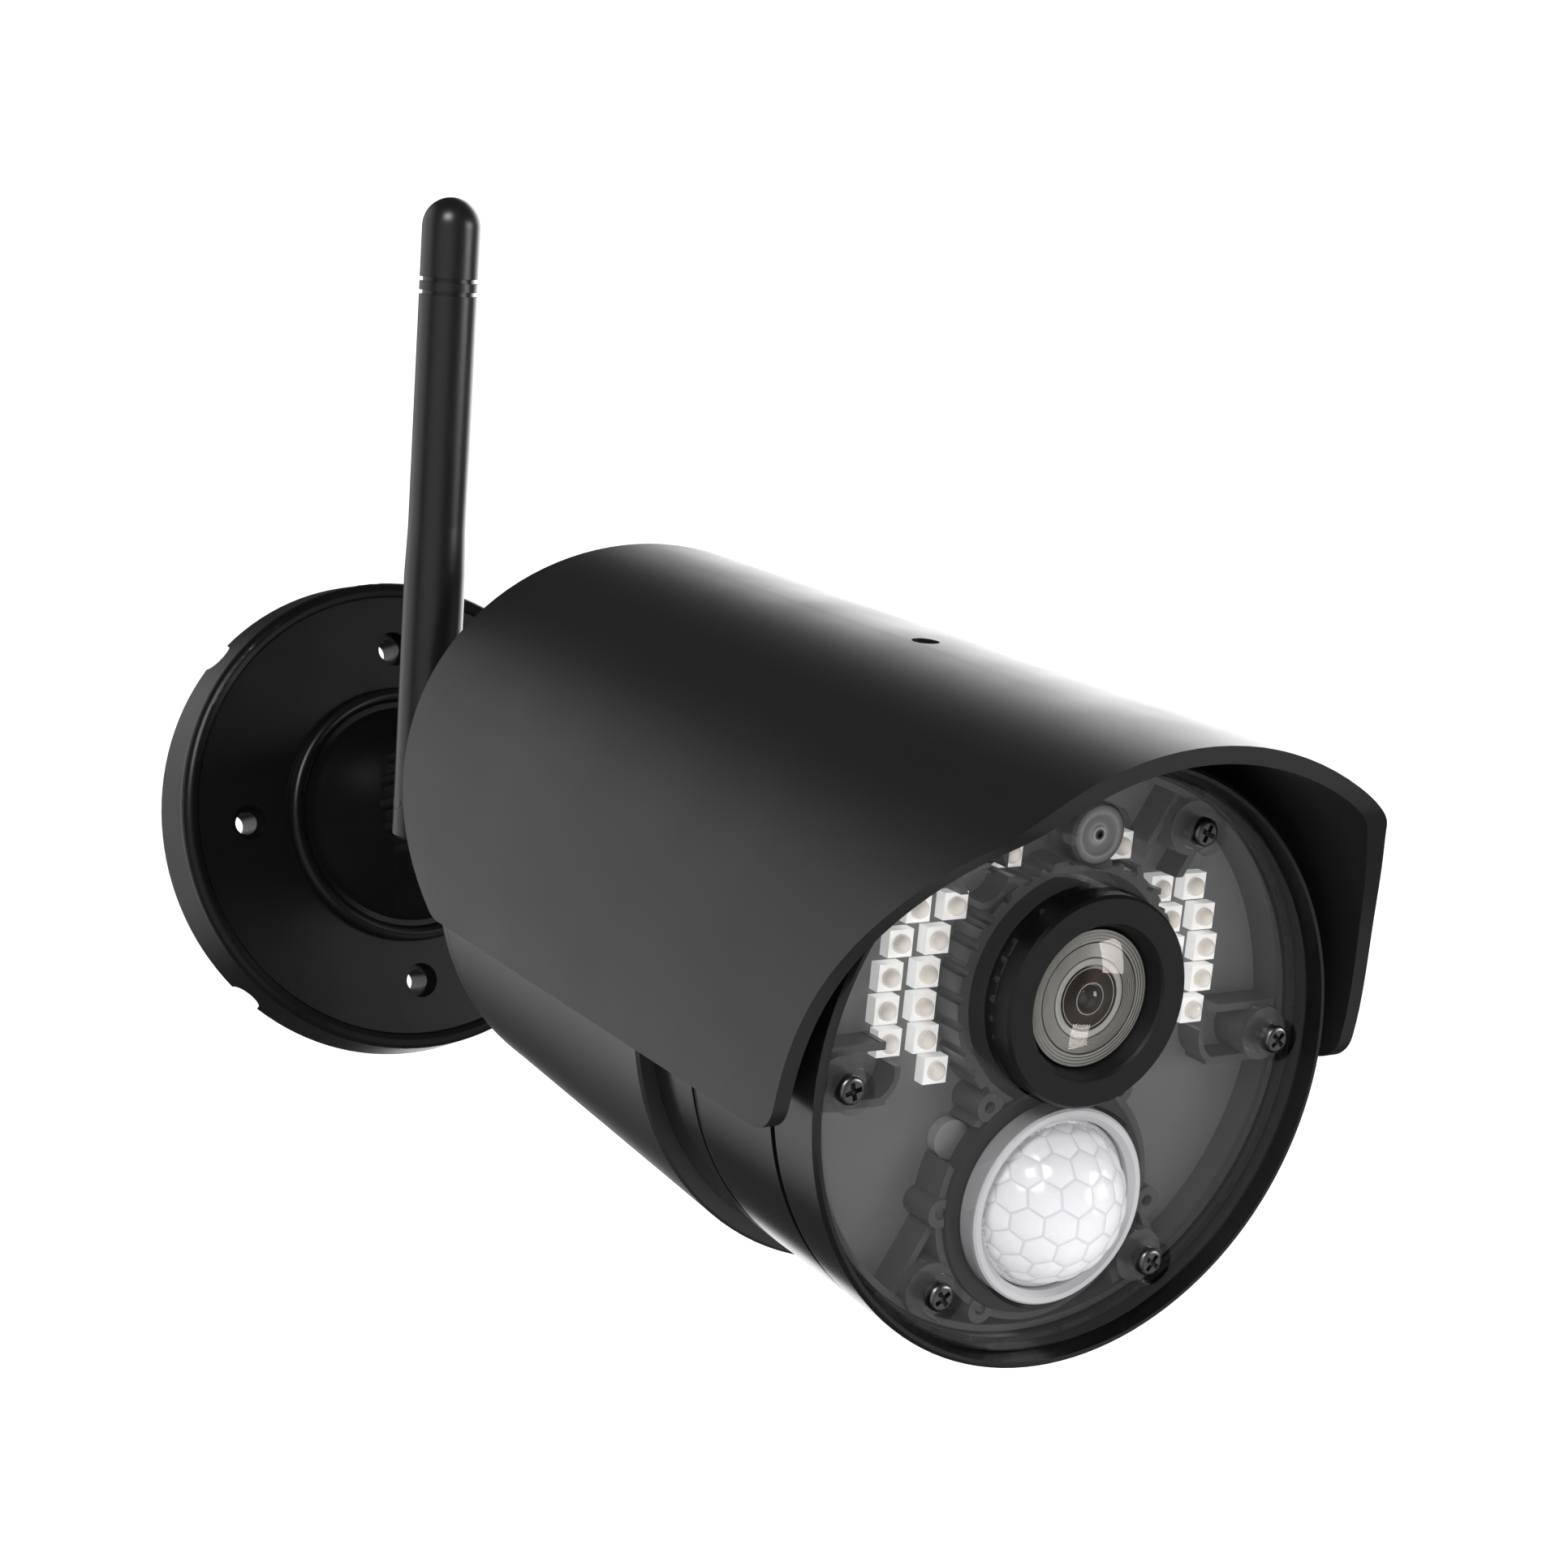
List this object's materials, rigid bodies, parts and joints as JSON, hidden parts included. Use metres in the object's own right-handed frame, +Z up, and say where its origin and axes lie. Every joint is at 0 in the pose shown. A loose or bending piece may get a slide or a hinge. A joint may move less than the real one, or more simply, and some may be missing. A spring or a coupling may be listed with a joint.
{
  "type": "security camera",
  "caption": "Outdoor bullet security camera with round smoked front, infrared diodes, motion sensor dome, arched sunshield, rod antenna and a ball-jointed wall bracket",
  "frame": {"origin": "centre of the wall base's back face, in the wall plane, on the bracket's axis", "axes": "+Z up, -Y out of the wall towards where the camera looks, X to the camera's own left and right"},
  "size_m": [0.0912, 0.2322, 0.1728],
  "materials": {
    "base_plastic": "satin",
    "case_plastic": "satin",
    "shield_plastic": "fine texture",
    "ring_plastic": "satin",
    "smoked_window": "polished",
    "black_rubber": "matte",
    "steel_screw": "zinc plated",
    "black_screw": "black zinc",
    "inner_plastic": "matte",
    "led_board": "black solder mask",
    "led_white": "matte",
    "clear_epoxy": "polished",
    "hood_plastic": "satin",
    "barrel_metal": "black anodised",
    "ring_metal": "dark anodised",
    "lens_glass": "coated",
    "pcb": "green solder mask",
    "chip": "matte",
    "radio_can": "tinned",
    "sensor_glass": "coated",
    "filter_glass": "coated",
    "pir_white": "translucent",
    "bezel_grey": "translucent",
    "pir_can": "plated",
    "cell_grey": "matte",
    "boot_grey": "translucent",
    "mic_can": "plated",
    "ball_metal": "black",
    "brass_jack": "gold plated",
    "coax": "satin",
    "antenna_plastic": "satin",
    "speaker_black": "black",
    "gland_plastic": "satin",
    "copper": "copper"
  },
  "bodies": {
    "base": {"wall_base": "base_plastic"},
    "collar": {"lock_collar": "base_plastic"},
    "seat": {"ball_seat": "inner_plastic"},
    "ball": {"ball_stem": "ball_metal"},
    "nut": {"stem_nut": "base_plastic"},
    "ir_shutter": {"ir_cut_shutter": "inner_plastic", "ir_cut_glass": "filter_glass"},
    "swivel": {"antenna_base": "antenna_plastic"},
    "antenna": {"antenna_mast": "antenna_plastic", "antenna_pin": "steel_screw", "antenna_band": "antenna_plastic", "antenna_tip": "antenna_plastic", "antenna_radiator": "copper"},
    "camera": {"front_ring": "ring_plastic", "window": "smoked_window", "window_gasket": "black_rubber", "window_screws": "steel_screw", "front_frame": "inner_plastic", "led_board": "led_board", "led_packages": "led_white", "led_domes": "clear_epoxy", "lens_hood": "hood_plastic", "lens_retaining_ring": "ring_metal", "lens_barrel": "barrel_metal", "lens_front_element": "lens_glass", "lens_inner_element": "lens_glass", "lens_rear_element": "lens_glass", "lens_holder": "inner_plastic", "ir_cut_frame": "inner_plastic", "image_board": "pcb", "image_sensor": "sensor_glass", "main_board": "pcb", "radio_module": "radio_can", "processor": "chip", "board_screws": "steel_screw", "speaker": "speaker_black", "pir_lens": "pir_white", "pir_bezel": "bezel_grey", "pir_gasket": "black_rubber", "pir_sensor": "pir_can", "pir_board": "pcb", "photocell": "cell_grey", "microphone_boot": "boot_grey", "microphone": "mic_can", "front_housing": "case_plastic", "mid_housing": "case_plastic", "housing_seal": "black_rubber", "rear_shell": "case_plastic", "rear_cap": "case_plastic", "rear_cap_seal": "black_rubber", "rear_cap_screws": "black_screw", "sunshield": "shield_plastic", "sunshield_screw": "black_screw", "antenna_jack": "brass_jack", "antenna_jack_nut": "brass_jack", "coax_pigtail": "coax", "cable_gland": "gland_plastic", "gland_bush": "black_rubber"}
  },
  "joints": [
    {"name": "pan", "type": "hinge", "parent": "base", "child": "seat", "pos_m": [0, -0.061, 0], "axis": [0, -1, 0], "range_deg": [-90, 90]},
    {"name": "tilt", "type": "hinge", "parent": "seat", "child": "ball", "pos_m": [0, -0.061, 0], "axis": [1, 0, 0], "range_deg": [-65, 25]},
    {"name": "roll", "type": "hinge", "parent": "ball", "child": "camera", "pos_m": [0, -0.061, 0], "axis": [0, 0.9397, 0.342], "range_deg": [-90, 90]},
    {"name": "collar_turn", "type": "hinge", "parent": "base", "child": "collar", "pos_m": [0, -0.061, 0], "axis": [0, -1, 0], "range_deg": [0, 270]},
    {"name": "nut_turn", "type": "hinge", "parent": "ball", "child": "nut", "pos_m": [0, -0.09201, -0.01129], "axis": [0, 0.9397, 0.342], "range_deg": [0, 360]},
    {"name": "ir_cut", "type": "slide", "parent": "camera", "child": "ir_shutter", "axis": [-1, 0, 0], "range_m": [0, 0.005]},
    {"name": "antenna_swivel", "type": "hinge", "parent": "camera", "child": "swivel", "pos_m": [-0.0297, -0.08834, -0.00676], "axis": [0, 0.9397, 0.342], "range_deg": [-180, 72]},
    {"name": "antenna_fold", "type": "hinge", "parent": "swivel", "child": "antenna", "pos_m": [-0.0297, -0.07894, -0.00334], "axis": [-1, 0, 0], "range_deg": [-2, 70]}
  ]
}
